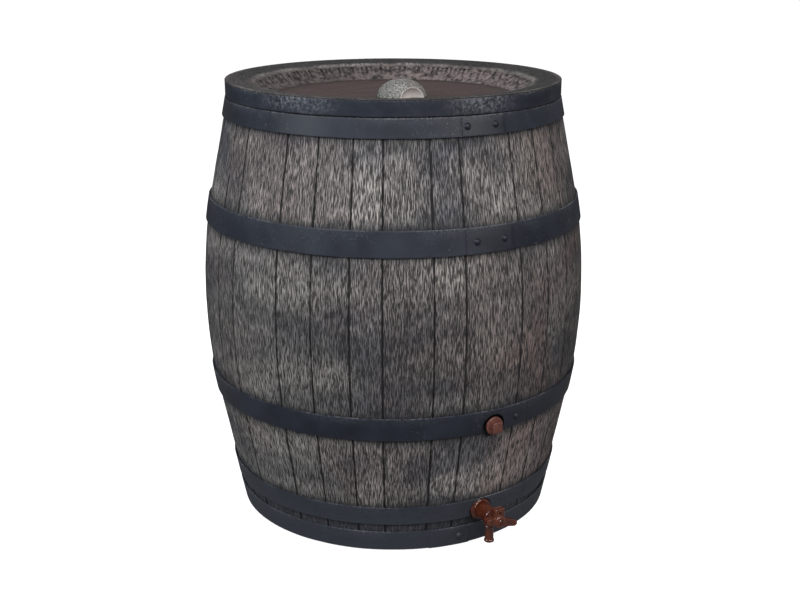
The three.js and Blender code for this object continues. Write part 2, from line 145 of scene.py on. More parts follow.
deselect()
bpy.ops.mesh.primitive_plane_add(size=60, location=(0, 0, 0))
floor = bpy.context.object
floor.name = "floor"
floor_paint = bpy.data.materials.new("floor_paint")
floor_paint.use_nodes = True
floor_shader = floor_paint.node_tree.nodes["Principled BSDF"].inputs
floor_shader["Roughness"].default_value = 0.9
floor_shader["Specular IOR Level"].default_value = 0.0
floor_shader["Emission Color"].default_value = (1, 1, 1, 1)
for socket, unseen, shown in (("Emission Strength", 0.0, 0.82), ("Base Color", 0.22, 0.9)):
    split_by_camera(floor_paint.node_tree, floor_shader[socket], unseen, shown)
floor.data.materials.append(floor_paint)
floor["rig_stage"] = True
print("stage ready")

# %% [markdown]
# ## Tools for modelling
# Almost every piece here is turned: a section is drawn as a chain of edges and spun
# about an axis. The chain starts as a plane merged to one point and is extruded from
# point to point, as by hand. Faces and edges are then picked by where they lie.

# %% Turned pieces
UP = (0, 0, 1)
OUT = (0, 1, 0)


def turned(name, section, steps, axis=UP, centre=(0, 0, 0)):
    """Spins a section of (radius, distance) in millimetres about an axis.

    About UP the distance is a height; about OUT it is measured from the barrel's
    axis towards the tap, and the centre's height says where the axis lies.
    """
    def place(radius, distance):
        if axis == UP:
            return Vector((centre[0] + radius, centre[1], distance)) * MM
        return Vector((centre[0] + radius, -distance, centre[2])) * MM

    points = [place(*entry) for entry in section]
    deselect()
    bpy.ops.mesh.primitive_plane_add(size=0.01, location=(0, 0, 0))
    piece = bpy.context.object
    piece.name = piece.data.name = name
    bpy.context.tool_settings.mesh_select_mode = (True, False, False)
    bpy.ops.object.mode_set(mode="EDIT")
    bpy.ops.mesh.select_all(action="SELECT")
    bpy.ops.mesh.merge(type="CENTER")
    bpy.ops.transform.translate(value=points[0])
    for start, end in zip(points, points[1:]):
        bpy.ops.mesh.extrude_region_move(TRANSFORM_OT_translate={"value": end - start})
    bpy.ops.mesh.select_all(action="SELECT")
    bpy.ops.mesh.spin(
        steps=steps, angle=2 * math.pi, center=Vector(centre) * MM, axis=axis
    )
    bpy.ops.mesh.select_all(action="SELECT")
    bpy.ops.mesh.remove_doubles(threshold=0.00001)
    bpy.ops.mesh.normals_make_consistent(inside=False)
    bpy.ops.object.mode_set(mode="OBJECT")
    return piece


# %% Picking by place
def corners(piece):
    """Every vertex of a piece as an array of x, y, z in millimetres."""
    flat = np.zeros(len(piece.data.vertices) * 3)
    piece.data.vertices.foreach_get("co", flat)
    return flat.reshape(-1, 3) / MM


def edge_ends(piece):
    """Both ends of every edge, in millimetres."""
    ends = np.zeros(len(piece.data.edges) * 2, int)
    piece.data.edges.foreach_get("vertices", ends)
    return corners(piece)[ends.reshape(-1, 2)]


def face_middles(piece):
    flat = np.zeros(len(piece.data.polygons) * 3)
    piece.data.polygons.foreach_get("center", flat)
    return flat.reshape(-1, 3) / MM


def around(points):
    """Radius from the barrel's axis, and azimuth in degrees from the tap towards +X."""
    radius = np.hypot(points[:, 0], points[:, 1])
    azimuth = np.degrees(np.arctan2(points[:, 0], -points[:, 1]))
    return radius, azimuth


def activate(piece):
    """Picks one object and nothing else."""
    deselect()
    bpy.context.view_layer.objects.active = piece
    piece.select_set(True)


@contextmanager
def editing(piece, kind, chosen):
    """Edit mode on one piece with only the chosen vertices, edges or faces picked."""
    mesh = piece.data
    parts = {"VERT": mesh.vertices, "EDGE": mesh.edges, "FACE": mesh.polygons}
    for group in parts.values():
        group.foreach_set("select", np.zeros(len(group), bool))
    parts[kind].foreach_set("select", np.asarray(chosen, bool))
    activate(piece)
    bpy.context.tool_settings.mesh_select_mode = [kind == k for k in ("VERT", "EDGE", "FACE")]
    bpy.ops.object.mode_set(mode="EDIT")
    yield
    bpy.ops.object.mode_set(mode="OBJECT")


# %% Modifiers
def modify(piece, kind, **settings):
    """Adds a modifier, sets it and applies it."""
    activate(piece)
    bpy.ops.object.modifier_add(type=kind)
    modifier = piece.modifiers[-1]
    for key, value in settings.items():
        setattr(modifier, key, value)
    bpy.ops.object.modifier_apply(modifier=modifier.name)


def soften(piece, width, segments=2, angle=35):
    """Rounds every sharp edge by a width in millimetres, then shades it smooth."""
    modify(piece, "BEVEL", width=width * MM, segments=segments,
           limit_method="ANGLE", angle_limit=math.radians(angle))
    smooth(piece)


def smooth(piece, angle=35):
    """Shades a piece smooth, apart from edges sharper than an angle in degrees."""
    activate(piece)
    bpy.ops.object.shade_smooth_by_angle(angle=math.radians(angle))


def moulded(piece, voxel=0.7, passes=6):
    """Runs separate solids together with soft fillets, as in one moulding."""
    modify(piece, "REMESH", mode="VOXEL", voxel_size=voxel * MM)
    modify(piece, "SMOOTH", factor=0.5, iterations=passes)
    smooth(piece, 60)


def combine(piece, other, operation):
    """Joins, cuts or intersects a piece with another, which is then deleted."""
    modify(piece, "BOOLEAN", operation=operation, object=other, solver="EXACT")
    bpy.data.objects.remove(other, do_unlink=True)


# %% Plain shapes to cut and join with
def settle(piece):
    """Puts a piece's place into its mesh, so that its object stays at the origin."""
    activate(piece)
    bpy.ops.object.transform_apply(location=True, rotation=True, scale=True)
    return piece


def drum(radius, start, end, height, sides=64):
    """A plain cylinder that points out of the barrel, used to cut or to join."""
    deselect()
    bpy.ops.mesh.primitive_cylinder_add(
        vertices=sides, radius=radius * MM, depth=(end - start) * MM,
        location=(0, -(start + end) / 2 * MM, height * MM), rotation=(math.pi / 2, 0, 0),
    )
    return settle(bpy.context.object)


def block(width, depth, tall, outward, height):
    """A plain box about a point in front of the barrel's axis."""
    deselect()
    bpy.ops.mesh.primitive_cube_add(
        size=1, location=(0, -outward * MM, height * MM),
        scale=(width * MM, depth * MM, tall * MM),
    )
    return settle(bpy.context.object)


def ball(outward, height, radius, wide):
    """A sphere in front of the barrel's axis, stretched sideways."""
    deselect()
    bpy.ops.mesh.primitive_uv_sphere_add(
        segments=64, ring_count=32, radius=radius * MM,
        location=(0, -outward * MM, height * MM), scale=(wide, 1, 1),
    )
    return settle(bpy.context.object)


# %% Relief, marks and places
def weigh(piece, name, chosen):
    """Names a group of vertices, for a relief to act on."""
    group = piece.vertex_groups.new(name=name)
    group.add([int(i) for i in np.flatnonzero(chosen)], 1.0, "REPLACE")


def ripple(piece, size, height, stretch=1.0, group="", level=0.85):
    """Uneven relief from a cloud pattern, drawn out upwards by the stretch.

    The level is the part of the pattern that stays in place: near 1 it sinks the rest.
    """
    texture = bpy.data.textures.new("relief", "CLOUDS")
    texture.noise_scale = 1
    texture.noise_depth = 2
    ruler = bpy.data.objects.new("ruler", None)
    bpy.context.scene.collection.objects.link(ruler)
    ruler.scale = (size * MM, size * MM, size * stretch * MM)
    bpy.context.view_layer.update()
    modify(piece, "DISPLACE", texture=texture, texture_coords="OBJECT",
           texture_coords_object=ruler, strength=height * MM, mid_level=level,
           vertex_group=group)
    bpy.data.objects.remove(ruler, do_unlink=True)


def mark(piece, name, values, domain="POINT"):
    """Stores one number for each corner or face, for a finish to read."""
    layer = piece.data.attributes.new(name, "FLOAT", domain)
    layer.data.foreach_set("value", np.asarray(values, float))


def settle_on(piece, body, slot, *nodes):
    """Says which body the piece rides on and which measured nodes it stands for."""
    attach(piece, body)
    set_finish(piece, slot)
    if nodes:
        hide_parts(*nodes)
    box = corners(piece)
    print(f"{piece.name}: {len(piece.data.polygons)} faces, "
          f"{np.round(box.min(axis=0), 1)} to {np.round(box.max(axis=0), 1)} mm")


# %% [markdown]
# ## The side of the barrel
# The side follows one long arc about the belly and straight cones beyond it. Hoops,
# joints and finishes all need the radius at a height, so it is one function.

# %% The side's curve
BELLY_RADIUS = 356
BELLY_HEIGHT = 415
ARC_RADIUS = 976
ARC_HALF = 195  # beyond this distance from the belly the side is a straight cone
SHOULDER = 776
WALL = 5
CONE_SLOPE = ARC_HALF / math.sqrt(ARC_RADIUS**2 - ARC_HALF**2)


def side(height):
    away = abs(height - BELLY_HEIGHT)
    curved = min(away, ARC_HALF)
    arc = ARC_RADIUS - math.sqrt(ARC_RADIUS**2 - curved**2)
    return BELLY_RADIUS - arc - (away - curved) * CONE_SLOPE


def on_outer_wall(points, radius):
    """True for points within 2 mm of the side."""
    return radius > np.array([side(z) for z in points[:, 2]]) - 2


STAVE_WIDTHS = [11, 11, 9, 14, 9, 18] * 5  # degrees
FIRST_JOINT = -64
JOINTS = [FIRST_JOINT + sum(STAVE_WIDTHS[:i]) for i in range(len(STAVE_WIDTHS))]
TAP_HEIGHT = 70.5
TAP_PAD = 305  # distance from the barrel's axis of the flat that the tap sits on
PLUG_HEIGHT = 243.5
PLUG_PAD = 338.5
BOSS_RADIUS = 21
RECESS_RADIUS = 21.4


def from_joint(azimuth):
    """Degrees to the nearest joint."""
    return np.abs((azimuth[:, None] - JOINTS + 180) % 360 - 180).min(axis=1)


print("staves", len(JOINTS), "base radius", round(side(0), 1))

# %% [markdown]
# ## The shell
# The moulder's tool cut thirty uneven staves into the wall. The section is spun in
# half-degree steps, the vertical edges on each joint are bevelled into a narrow strip,
# and the strip's middle is sunk, which gives a real groove with sloping sides. Two
# passes of drawn-out relief then give the staves the gentle lumps of split oak.

# %% The shell's body
ROWS = 72


def shell_section():
    outside = [(side(z), z) for z in np.linspace(9, SHOULDER, ROWS)]
    inside = [(side(z) - WALL, z) for z in np.linspace(742, 30, 12)]
    foot = [(0, 0), (140, 0), (276, 0), (284, 0.6), (289.5, 3)]
    mouth = [(298.9, 777), (298.9, 796.8), (297.7, 798), (294.2, 798), (293, 796.8), (293, 768)]
    return foot + outside + mouth + inside + [(278, 8), (140, 6), (0, 6)]


shell = turned("barrel_shell_moulding", shell_section(), 720)
middles = edge_ends(shell).mean(axis=1)
radius, azimuth = around(middles)
upright = np.ptp(edge_ends(shell)[:, :, 2], axis=1) > 3
wanted = upright & (from_joint(azimuth) < 0.1) & on_outer_wall(middles, radius)
wanted &= (middles[:, 2] > 8) & (middles[:, 2] < SHOULDER - 2)
print("joint edges", int(wanted.sum()))

# %% Joints cut between the staves
JOINT_HALF = 1.3
JOINT_DEPTH = 3.0

with editing(shell, "EDGE", wanted):
    bpy.ops.mesh.bevel(offset=JOINT_HALF * MM, segments=2, profile=0.5, affect="EDGES")

points = corners(shell)
radius, azimuth = around(points)
on_side = on_outer_wall(points, radius)
joint_middle = (from_joint(azimuth) < 0.05) & on_side
joint_middle &= (points[:, 2] > 12) & (points[:, 2] < SHOULDER - 4)
with editing(shell, "VERT", joint_middle):
    bpy.ops.transform.shrink_fatten(value=-JOINT_DEPTH * MM)
off = from_joint(azimuth) * math.pi / 180 * radius
mark(shell, "joint", np.clip(1.25 - off / (2 * JOINT_HALF), 0, 1) * on_side)
print("joint middles", int(joint_middle.sum()))

# %% Relief of the wood, and a tone for each stave
weigh(shell, "wood", on_side & ~joint_middle)
ripple(shell, 9, 1.1, stretch=9, group="wood")
ripple(shell, 45, 2.2, stretch=3, group="wood")

tones = random.Random(7)
stave_tones = [tones.uniform(0, 1) for _ in JOINTS]
_, face_azimuth = around(face_middles(shell))
from_first = (face_azimuth - FIRST_JOINT) % 360
stave_of_face = np.searchsorted(JOINTS, from_first + FIRST_JOINT, side="right") - 1
mark(shell, "stave_tone", [stave_tones[i] for i in stave_of_face], "FACE")

# %% Bosses for the tap and the plug
for pad, height in ((TAP_PAD, TAP_HEIGHT), (PLUG_PAD, PLUG_HEIGHT)):
    combine(shell, drum(BOSS_RADIUS, pad - 11, pad, height), "UNION")
    combine(shell, drum(RECESS_RADIUS, pad - 0.02, pad + 30, height), "DIFFERENCE")
    combine(shell, drum(16.3, pad - 60, pad + 10, height), "DIFFERENCE")
smooth(shell, 50)
settle_on(shell, "barrel", "staves", "barrel_shell")

# %% [markdown]
# ## Hoops
# Each hoop is a flat band that leans with the side. Its ends lap over each other and
# are riveted, so a short stretch stands thicker and stops in a step. The foot hoop is
# notched round the tap, and the lower bilge hoop round the plug.

# %% One hoop
# Lower edge and upper edge in millimetres, and the azimuth where the lap ends.
HOOPS = {
    "base_hoop": (3, 42, -3),
    "foot_hoop": (57.5, 94, 35),
    "lower_bilge_hoop": (231.5, 275, 12),
    "upper_bilge_hoop": (554.5, 598.5, 5),
    "head_hoop": (742.5, 775, 6),
}
HOOP_PROUD = 3.0
LAP_SPAN = 15  # degrees
LAP_STEP = 1.3


def band(name, section, lap_end):
    """A closed section spun into a hoop, with its lapped end stepped out."""
    made = turned(name, section, 360)
    middles = face_middles(made)
    radius, azimuth = around(middles)
    outer_at = np.interp(middles[:, 2], *outer_line(section))
    lap = (azimuth < lap_end) & (azimuth > lap_end - LAP_SPAN) & (radius > outer_at - 0.6)
    with editing(made, "FACE", lap):
        step = {"value": LAP_STEP * MM}
        bpy.ops.mesh.extrude_region_shrink_fatten(TRANSFORM_OT_shrink_fatten=step)
    soften(made, 0.6, segments=2, angle=50)
    return made


def outer_line(section):
    """Heights and radii along a band's outer face, for telling outer faces apart."""
    ordered = sorted((z, r) for r, z in section)
    heights = sorted({z for z, _ in ordered})
    return heights, [max(r for z, r in ordered if z == height) for height in heights]


def hoop_section(low, high):
    """A thin band that follows the side between two heights."""
    rows = [low, low + 2.5, (low + high) / 2, high - 2.5, high]
    outer = [(side(z) + HOOP_PROUD, z) for z in rows]
    inner = [(side(z) + 0.1, z) for z in reversed(rows)]
    return outer + inner + outer[:1]


def mark_wear(piece, low, high):
    """1 on the top edge, falling to 0 a few millimetres down; a little at the bottom."""
    heights = corners(piece)[:, 2]
    top = np.clip(1 - (high - heights) / 4.0, 0, 1)
    bottom = np.clip(1 - (heights - low) / 3.0, 0, 1) * 0.45
    mark(piece, "wear", np.maximum(top, bottom))


NOTCHES = {"foot_hoop": (TAP_PAD, TAP_HEIGHT), "lower_bilge_hoop": (PLUG_PAD, PLUG_HEIGHT)}
for hoop_name, (low, high, lap_end) in HOOPS.items():
    hoop = band(f"{hoop_name}_band", hoop_section(low, high), lap_end)
    ripple(hoop, 60, 0.9)
    if hoop_name in NOTCHES:
        pad, height = NOTCHES[hoop_name]
        combine(hoop, drum(RECESS_RADIUS, pad - 20, pad + 30, height), "DIFFERENCE")
    smooth(hoop, 40)
    mark_wear(hoop, low, high)
    settle_on(hoop, "barrel", "hoop", hoop_name)

# %% [markdown]
# ## Rivets
# A rivet shows as a low dome with a thin flat skirt. One is modelled: a sphere cut in
# half by a bisect, with its open ring extruded into a skirt, pressed flat. Each rivet
# on a hoop is a copy of it, turned to stand on the hoop's leaning face.

# %% Rivet domes
RIVET_RADIUS = 5.4
RIVETS = {  # azimuth in degrees and height
    "head_hoop": [(-7.2, 759), (2.7, 759)],
    "upper_bilge_hoop": [(-6.7, 575), (2.1, 575)],
    "lower_bilge_hoop": [(8.1, 250)],
    "base_hoop": [(-7.1, 22)],
}


def rivet_pattern():
    """The rivet that the others are copied from, standing on the ground plane."""
    deselect()
    bpy.ops.mesh.primitive_uv_sphere_add(segments=28, ring_count=16, radius=RIVET_RADIUS * MM)
    made = bpy.context.object
    bpy.ops.object.mode_set(mode="EDIT")
    bpy.ops.mesh.select_all(action="SELECT")
    bpy.ops.mesh.bisect(plane_co=(0, 0, 0), plane_no=(0, 0, 1), clear_inner=True)
    bpy.ops.mesh.extrude_region_move()
    bpy.ops.transform.resize(value=(1.22, 1.22, 1), center_override=(0, 0, 0))
    bpy.ops.mesh.extrude_region_move(TRANSFORM_OT_translate={"value": (0, 0, -1.2 * MM)})
    bpy.ops.mesh.edge_face_add()
    bpy.ops.mesh.select_all(action="SELECT")
    bpy.ops.transform.resize(value=(1, 1, 0.66), center_override=(0, 0, 0))
    bpy.ops.mesh.normals_make_consistent(inside=False)
    bpy.ops.object.mode_set(mode="OBJECT")
    smooth(made, 50)
    return made


def rivet(pattern, name, azimuth, height, lift):
    """A copy of the pattern with a mesh of its own, stood on a hoop's leaning face."""
    made = pattern.copy()
    made.data = pattern.data.copy()
    made.name = made.data.name = name
    bpy.context.scene.collection.objects.link(made)
    turn = math.radians(azimuth)
    slope = (side(height + 1) - side(height - 1)) / 2
    normal = Vector((math.sin(turn), -math.cos(turn), -slope)).normalized()
    reach = side(height) + HOOP_PROUD + lift
    made.location = Vector((math.sin(turn) * reach, -math.cos(turn) * reach, height)) * MM
    made.rotation_euler = normal.to_track_quat("Z", "Y").to_euler()
    return settle(made)


pattern = rivet_pattern()
for hoop_name, places in RIVETS.items():
    lap_end = HOOPS[hoop_name][2]
    for number, (turn, height) in enumerate(places, 1):
        lift = LAP_STEP if lap_end - LAP_SPAN < turn < lap_end else 0
        dome = rivet(pattern, f"{hoop_name}_rivet_dome_{number}", turn, height, lift)
        settle_on(dome, "barrel", "rivet", f"{hoop_name}_rivet_{number}")
bpy.data.objects.remove(pattern, do_unlink=True)

# %% [markdown]
# ## The lid
# The lid is one dished moulding: a sloping rim, a wall with a row of small tool
# marks, and a floor cut like planks. It is turned first. The tool marks are single
# faces of the wall inset and pushed in, and the plank joints are cut across the floor
# by pairs of bisects and sunk.

# %% The lid's body
LID_STEPS = 320
DISH_FLOOR = 771
FLOOR_TOP = 771.2
FLOOR_RADIUS = 222
FLOOR_UNDER = 766.5
UNDER_RADIUS = 225
LID_HEM = 776.6
LID_RADIUS = 305
DISH_WALL = [(FLOOR_RADIUS, FLOOR_TOP), (225.5, 773), (233, 779), (237, 782.5), (249, 795),
             (253, 798.6)]


def lid_section():
    """Up the dish's wall, out along the rim, down the skirt and back underneath."""
    rim = [(258 + 44 * t, 800.8 + 4.9 * t) for t in np.linspace(0, 1, 6)]
    outside = [(304.3, 805.2), (305, 804.2), (305, 803.3), (302.4, 803.3), (302.4, LID_HEM)]
    under = [(299.5, LID_HEM), (299.5, 798.3), (290, 798.3), (262, 796.3), (230, 768.5),
             (UNDER_RADIUS, FLOOR_UNDER)]
    return DISH_WALL + rim + outside + under


def close_ring(piece, radius, height):
    """Fills the round opening whose edge lies at a radius and a height."""
    points = corners(piece)
    near = np.abs(around(points)[0] - radius) < 0.5
    with editing(piece, "VERT", near & (np.abs(points[:, 2] - height) < 0.3)):
        bpy.ops.mesh.edge_face_add()


lid = turned("lid_moulding", lid_section(), LID_STEPS)
close_ring(lid, FLOOR_RADIUS, FLOOR_TOP)
close_ring(lid, UNDER_RADIUS, FLOOR_UNDER)

# %% Tool marks on the dish's wall
marks = random.Random(3)
kept = {step for step in range(0, LID_STEPS, 2) if marks.random() < 0.6}
for depth, share in ((2.2, 0), (1.2, 1), (3.0, 2)):
    middles = face_middles(lid)
    face_radius, face_turn = around(middles)
    on_wall = (middles[:, 2] > 785) & (middles[:, 2] < 791) & (face_radius < 250)
    step_of_face = np.floor((face_turn + 180) / (360 / LID_STEPS)).astype(int)
    chosen = [step in kept and (step // 2) % 3 == share for step in step_of_face]
    with editing(lid, "FACE", on_wall & np.array(chosen)):
        bpy.ops.mesh.inset(thickness=0.5 * MM, depth=-depth * MM, use_individual=True)
print("tool marks", len(kept))

# %% Plank joints across the dish's floor
PLANK_EDGES = [-176, -118, -66, -4, 52, 104, 168]
PLANK_GAP = 0.9  # half the width of a joint
for edge in PLANK_EDGES:
    for offset in (-PLANK_GAP, PLANK_GAP):
        with editing(lid, "FACE", np.abs(face_middles(lid)[:, 2] - FLOOR_TOP) < 0.3):
            bpy.ops.mesh.bisect(plane_co=(0, (edge + offset) * MM, 0), plane_no=(0, 1, 0))
middles = face_middles(lid)
strips = np.zeros(len(middles), bool)
for edge in PLANK_EDGES:
    strips |= (np.abs(middles[:, 1] - edge) < 0.5) & (np.abs(middles[:, 2] - FLOOR_TOP) < 0.3)
with editing(lid, "FACE", strips):
    bpy.ops.mesh.extrude_region_move(TRANSFORM_OT_translate={"value": (0, 0, -1.4 * MM)})
print("plank joints", int(strips.sum()))

# %% What is sunk and what is worn on the lid
rings = corners(lid)
radius, _ = around(rings)
level = rings[:, 2]
wall_at = np.interp(level, [z for _, z in DISH_WALL], [r for r, _ in DISH_WALL])
in_mark = (level > 783) & (level < 796) & (radius > wall_at + 0.7) & (radius < 262)
in_groove = (level < 770.6) & (level > 769) & (radius < 223)
mark(lid, "sunk", in_mark | in_groove)
outer_edge = np.clip(1 - np.abs(radius - 302.5) / 3.5, 0, 1) * (level > 803)
inner_edge = (np.abs(radius - 256) < 3.4) & (level > 798)
mark(lid, "wear", np.maximum(outer_edge, inner_edge))
weigh(lid, "wood", (radius > 226) & (radius < 303) & (level > 772))
ripple(lid, 14, 1.3, group="wood")
smooth(lid, 45)
settle_on(lid, "lid", "lid", "lid_shell")

# %% The lid's hoop
lid_rows = [LID_HEM, 779, 790, 800.6, 803]
outer = [(LID_RADIUS, z) for z in lid_rows]
inner = [(LID_RADIUS - 2.4, z) for z in reversed(lid_rows)]
lid_band = turned("lid_hoop_band", outer + inner + outer[:1], 360)
soften(lid_band, 0.6)
ripple(lid_band, 70, 0.6)
smooth(lid_band, 40)
mark_wear(lid_band, LID_HEM, 803)
# Two stretches of the lid's hoop are marked: rubbed pale there, and also painted lighter where the
# lamps' highlights fall.
_, band_turn = around(corners(lid_band))
scuff_and_highlights = np.zeros(len(band_turn))
for middle, half in ((-62, 17), (-1, 15)):  # two stretches, in degrees, rubbed and also painted as highlights
    scuff_and_highlights = np.maximum(scuff_and_highlights, np.clip(1 - np.abs(band_turn - middle) / half, 0, 1))
most_at_top = np.interp(corners(lid_band)[:, 2], [784, 796, 801], [0.22, 1.0, 0.7])
mark(lid_band, "scuff", scuff_and_highlights * most_at_top)
settle_on(lid_band, "lid", "hoop", "lid_hoop")

# %% [markdown]
# ## The knob
# A low round dome, scooped at the front and the back so that fingers can pinch the
# bar that is left. It is turned, then two stretched spheres are cut away, and every
# sharp edge is rounded over. The dome is stippled; the scoops are worn smooth.

# %% The knob
KNOB_OUTWARD = 31
KNOB_RADIUS = 45
KNOB_RISE = 33
SCOOP_RADIUS = 20
SCOOP_STRETCH = 1.25
SCOOP_OUT = 47
SCOOP_HEIGHT = DISH_FLOOR + 4.4


def knob_section():
    """A stud through the dish's floor, with the dome on top of it."""
    base = DISH_FLOOR + 0.4
    turns = np.radians(np.linspace(0, 88, 22))
    dome = [(KNOB_RADIUS * math.cos(t), base + KNOB_RISE * math.sin(t)) for t in turns]
    stud = [(0, 752.5), (4, 752.5), (4, base), (KNOB_RADIUS - 1, base)]
    return stud + dome + [(0, base + KNOB_RISE)]


knob = turned("knob_dome", knob_section(), 96, centre=(0, -KNOB_OUTWARD, 0))
for facing in (-1, 1):
    scoop = ball(KNOB_OUTWARD - facing * SCOOP_OUT, SCOOP_HEIGHT, SCOOP_RADIUS, SCOOP_STRETCH)
    combine(knob, scoop, "DIFFERENCE")
moulded(knob, 1.1, 10)


def near_scoop(piece):
    """True for the corners that lie on either scoop's bowl."""
    bowl = corners(piece) - [0, -KNOB_OUTWARD, SCOOP_HEIGHT]
    found = np.zeros(len(bowl), bool)
    for facing in (-1, 1):
        offset = (bowl - [0, facing * SCOOP_OUT, 0]) / [SCOOP_STRETCH, 1, 1]
        found |= np.linalg.norm(offset, axis=1) < SCOOP_RADIUS + 1.2
    return found


scooped = near_scoop(knob)
weigh(knob, "stipple", ~scooped & (corners(knob)[:, 2] > DISH_FLOOR + 2))
ripple(knob, 2.6, 0.9, group="stipple")
smooth(knob, 60)
mark(knob, "scoop", scooped)
settle_on(knob, "lid", "knob", "lid_knob")

# %% [markdown]
# ## The tap
# A quarter-turn tap in glossy plastic. The flange, housing and tail are one turned
# section, the spout is another, and the two are joined and remeshed finely so that
# they flow into each other as a moulding does. The bores are cut last, so that their
# edges stay crisp.

# %% Tap body
HOUSING_END = 350
SPOUT_OUTWARD = 338.5
CHAMBER_RADIUS = 9.5
INLET_RADIUS = 8
THREAD_RADIUS = 13
THREAD_PITCH = 1.814
TAP_CENTRE = (0, 0, TAP_HEIGHT)


def thread(start, end):
    """A saw-toothed run of turned thread ridges between two distances."""
    root = THREAD_RADIUS - 1.0
    starts = np.arange(start, end, THREAD_PITCH)
    return [entry for at in starts for entry in ((root, at), (THREAD_RADIUS, at + 0.9))]


flange = TAP_PAD + 2
tap_body = turned("tap_body_moulding", [
    (0, flange), (20, flange), (20.5, flange + 0.6), (20.5, flange + 2.8), (19.6, flange + 3.8),
    (17.6, flange + 4.2), (16.2, flange + 5.2), (15.6, flange + 7), (15.5, HOUSING_END - 8),
    (16.1, HOUSING_END - 7.2), (16.1, HOUSING_END - 2), (15.2, HOUSING_END), (0, HOUSING_END),
], 96, OUT, TAP_CENTRE)
spout = turned("spout", [
    (0, 20), (8.6, 20), (9.2, 20.8), (9.2, 23.4), (7.9, 25.2), (7.8, 48), (9.4, 49), (9.4, 51),
    (8.4, 51.6), (8.4, 52.6), (9.6, 53.4), (9.6, 55.4), (8.8, 56.4), (8.8, 66), (0, 66),
], 64, UP, (0, -SPOUT_OUTWARD, 0))
combine(tap_body, spout, "UNION")
moulded(tap_body, 0.6, 3)
tail = turned("tail", [(0, TAP_PAD - 18), (12, TAP_PAD - 18)]
              + thread(TAP_PAD - 17, TAP_PAD - 1) + [(12.2, flange + 1), (0, flange + 1)],
              64, OUT, TAP_CENTRE)
combine(tap_body, tail, "UNION")
chamber = drum(CHAMBER_RADIUS, TAP_PAD + 11, HOUSING_END + 5, TAP_HEIGHT)
inlet = drum(INLET_RADIUS, TAP_PAD - 30, TAP_PAD + 15, TAP_HEIGHT)
spout_bore = turned("spout_bore", [(0, 10), (5.9, 10), (5.6, 24), (5.5, 66), (0, 66)],
                    48, UP, (0, -SPOUT_OUTWARD, 0))
for bore in (chamber, inlet, spout_bore):
    combine(tap_body, bore, "DIFFERENCE")
with editing(tap_body, "VERT", np.ones(len(tap_body.data.vertices), bool)):
    bpy.ops.mesh.remove_doubles(threshold=0.02 * MM)
    bpy.ops.mesh.dissolve_degenerate(threshold=0.01 * MM)
smooth(tap_body, 45)
settle_on(tap_body, "barrel", "tap", "tap_body")

# %% Tap handle
HANDLE_BACK = 358
HANDLE_FRONT = 371


def arm(end_x, end_z, root, tip):
    """A cylinder drawn out to one side and tapered: half of it moves to the arm's end."""
    made = drum(root, HANDLE_BACK, HANDLE_FRONT, TAP_HEIGHT, 48)
    reach = math.hypot(end_x, end_z)
    points = corners(made)
    forward = (points[:, 0] * end_x + (points[:, 2] - TAP_HEIGHT) * end_z) / reach
    with editing(made, "VERT", forward > -0.01):
        bpy.ops.transform.translate(value=(end_x * MM, 0, end_z * MM))
        tip_centre = (end_x * MM, 0, (TAP_HEIGHT + end_z) * MM)
        bpy.ops.transform.resize(value=(tip / root, 1, tip / root), center_override=tip_centre)
    return made


def lug():
    """The square ear on top, which has an eye through it."""
    made = block(21, HANDLE_FRONT - HANDLE_BACK, 23, (HANDLE_BACK + HANDLE_FRONT) / 2,
                 TAP_HEIGHT + 13.5)
    modify(made, "BEVEL", width=2.6 * MM, segments=4, limit_method="ANGLE")
    return made


handle = turned("tap_handle_moulding", [
    (0, HANDLE_BACK - 2), (10, HANDLE_BACK - 2), (10.5, HANDLE_BACK - 1), (10.5, HANDLE_FRONT + 1),
    (9.4, HANDLE_FRONT + 2), (0, HANDLE_FRONT + 2),
], 64, OUT, TAP_CENTRE)
for wing in (arm(32, -10, 9, 5.5), arm(-20.5, 3.5, 9, 5.5), lug()):
    combine(handle, wing, "UNION")
moulded(handle, 0.6, 8)
eye = drum(2.2, HANDLE_BACK - 5, HANDLE_FRONT + 5, TAP_HEIGHT + 17, 32)
screw_seat = drum(5, HANDLE_FRONT, HANDLE_FRONT + 5, TAP_HEIGHT, 48)
screw_hole = drum(2.1, HANDLE_BACK, HANDLE_FRONT + 5, TAP_HEIGHT, 32)
stem_socket = block(7.6, 12, 7.6, 361.5, TAP_HEIGHT)
for hole in (eye, screw_seat, screw_hole, stem_socket):
    combine(handle, hole, "DIFFERENCE")
smooth(handle, 45)
settle_on(handle, "tap_handle", "tap", "tap_handle")

# %% [markdown]
# ## The screw plug
# The plug has the same pipe thread as the tap, a round flange and a square head for a
# spanner. The head is a cube whose sides are drawn in a little towards the front, with
# every edge rounded.

# %% The plug
PLUG_CENTRE = (0, 0, PLUG_HEIGHT)
PLUG_COLLAR = 8.5
HEAD_WIDTH = 19.8
HEAD_TAPER = 0.93
plug_flange = PLUG_PAD + 2
plug_face = plug_flange + PLUG_COLLAR
plug = turned("plug_moulding", [(0, PLUG_PAD - 11), (11.5, PLUG_PAD - 11)]
              + thread(PLUG_PAD - 10.4, PLUG_PAD - 1)
              + [(12.2, plug_flange), (16, plug_flange), (16.5, plug_flange + 0.6),
                 (16.5, plug_face - 1.2), (16.1, plug_face - 0.4), (15.2, plug_face),
                 (0, plug_face)],
              72, OUT, PLUG_CENTRE)
head = block(HEAD_WIDTH, 11.4, HEAD_WIDTH, plug_face + 4.7, PLUG_HEIGHT)
front = face_middles(head)[:, 1] < -(plug_face + 10)
with editing(head, "FACE", front):
    bpy.ops.transform.resize(value=(HEAD_TAPER, 1, HEAD_TAPER),
                             center_override=(0, 0, PLUG_HEIGHT * MM))
modify(head, "BEVEL", width=1.6 * MM, segments=3, limit_method="ANGLE")
combine(plug, head, "UNION")
combine(plug, drum(9, PLUG_PAD - 20, PLUG_PAD - 2, PLUG_HEIGHT), "DIFFERENCE")
smooth(plug, 40)
